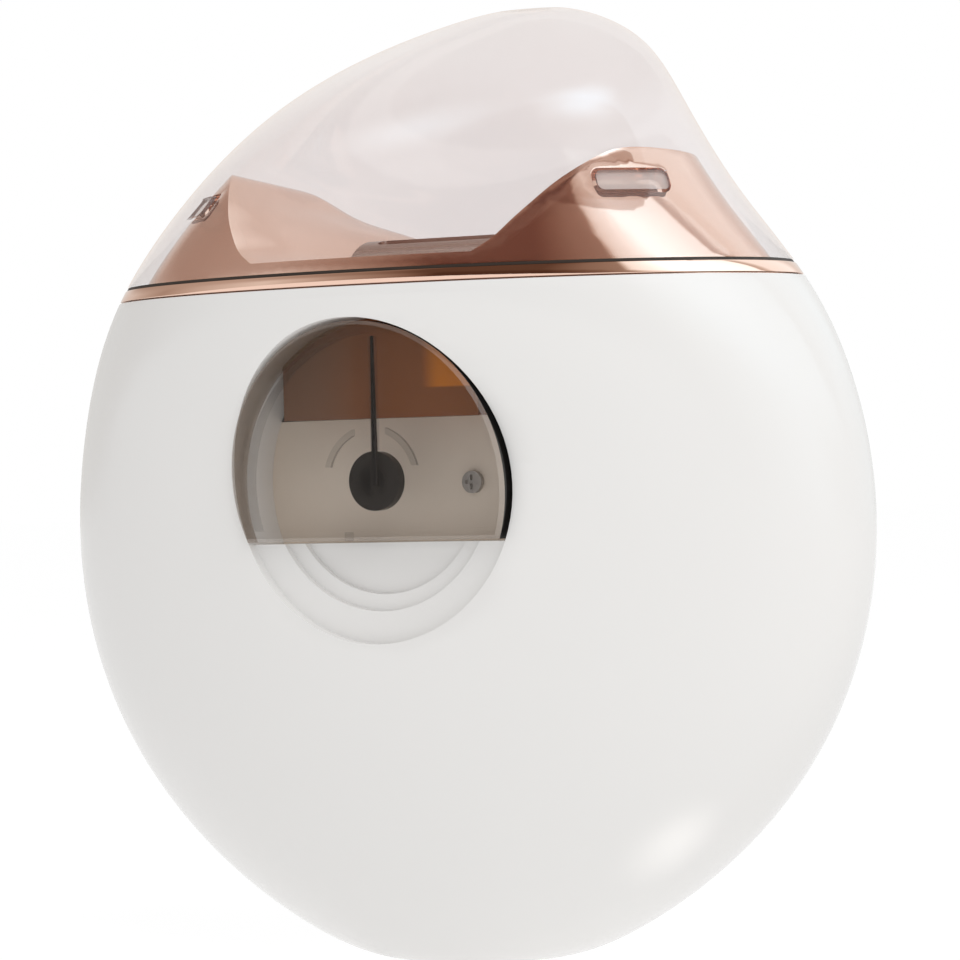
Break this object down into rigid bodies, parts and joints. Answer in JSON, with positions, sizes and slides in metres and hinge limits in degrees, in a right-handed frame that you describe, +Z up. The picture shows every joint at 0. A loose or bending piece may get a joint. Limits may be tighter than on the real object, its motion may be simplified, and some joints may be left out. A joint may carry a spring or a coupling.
{
  "type": "electric nail clipper",
  "caption": "Egg-shaped electric nail clipper: a clear cap over a finger valley with a guarded cutting drum, a smoked waste window, a power button and a charging socket in its foot.",
  "frame": {"origin": "centre of the foot, on the surface the clipper stands on", "axes": "+Z up towards the cap's peak; -Y out of the waste window; +Y out of the power button; +X along the cutting drum, towards its gear"},
  "size_m": [0.0828, 0.0376, 0.088],
  "materials": {
    "white_shell": "gloss, injection moulded",
    "rose_gold": "polished plating, rose-gold tint",
    "clear_plastic": "clear, polished",
    "smoked_plastic": "smoked, polished",
    "guard_steel": "satin",
    "cutter_steel": "ground",
    "shaft_steel": "ground",
    "bronze": "machined",
    "white_nylon": "satin",
    "grey_nylon": "fine texture",
    "beige_plastic": "fine texture",
    "copper_plastic": "satin",
    "black_plastic": "gloss",
    "screw_steel": "plated",
    "motor_steel": "plated",
    "motor_end": "moulded",
    "socket_steel": "plated",
    "board_green": "solder resist",
    "cell_foil": "pouch foil",
    "foam_black": "foam",
    "lead_red": "sleeve",
    "lead_black": "sleeve",
    "lamp_white": "epoxy",
    "light_clear": "clear, polished",
    "seal_black": "moulded"
  },
  "bodies": {
    "housing": {"rear_shell": "white_shell", "front_shell": "white_shell", "trim_ring": "rose_gold", "cap_seal": "seal_black", "head_trim": "rose_gold", "head_frame": "grey_nylon", "cutter_guard": "guard_steel", "drum_bushes": "bronze", "idler_pin": "shaft_steel", "idler_spacer": "white_nylon", "idler_clip": "screw_steel", "motor_can": "motor_steel", "motor_cap": "motor_end", "nail_chute": "copper_plastic", "chamber_panel": "beige_plastic", "button_bezel": "rose_gold", "tact_switch": "black_plastic", "circuit_board": "board_green", "socket_shell": "socket_steel", "socket_tongue": "black_plastic", "battery": "cell_foil", "battery_pad": "foam_black", "status_led": "lamp_white", "light_pipe": "light_clear", "head_screws": "screw_steel", "deck_screws": "screw_steel", "guard_screws": "screw_steel", "motor_screws": "screw_steel", "board_screws": "screw_steel", "chamber_screw": "screw_steel", "motor_leads": "lead_red", "battery_leads": "lead_black"},
    "cap": {"clear_cap": "clear_plastic"},
    "door": {"waste_door": "smoked_plastic", "door_fin": "black_plastic", "door_hub": "black_plastic"},
    "button": {"power_button": "white_shell", "switch_plunger": "white_nylon"},
    "drum": {"cutter_drum": "cutter_steel", "drum_shaft": "shaft_steel", "drum_gear": "white_nylon", "shaft_clip": "screw_steel"},
    "idler": {"idler_gear": "white_nylon"},
    "rotor": {"motor_shaft": "shaft_steel", "motor_pinion": "bronze"}
  },
  "joints": [
    {"name": "cap_lift", "type": "slide", "parent": "housing", "child": "cap", "axis": [0, 0, 1], "range_m": [0, 0.03]},
    {"name": "door_pull", "type": "slide", "parent": "housing", "child": "door", "axis": [0, -1, 0], "range_m": [0, 0.015]},
    {"name": "button_press", "type": "slide", "parent": "housing", "child": "button", "axis": [0, -1, 0], "range_m": [0, 0.0005], "stiffness_N_per_m": 1000, "springref_m": -0.0005},
    {"name": "drum_spin", "type": "hinge", "parent": "housing", "child": "drum", "pos_m": [0, 0, 0.0602], "axis": [1, 0, 0], "continuous": true},
    {"name": "idler_spin", "type": "hinge", "parent": "housing", "child": "idler", "pos_m": [0.016, 0, 0.0497], "axis": [1, 0, 0], "continuous": true},
    {"name": "motor_spin", "type": "hinge", "parent": "housing", "child": "rotor", "pos_m": [0.016, 0, 0.0402], "axis": [1, 0, 0], "continuous": true}
  ],
  "couplings": [
    {"joint": "idler_spin", "follows": "drum_spin", "ratio": -0.4},
    {"joint": "motor_spin", "follows": "drum_spin", "ratio": 1.5}
  ]
}
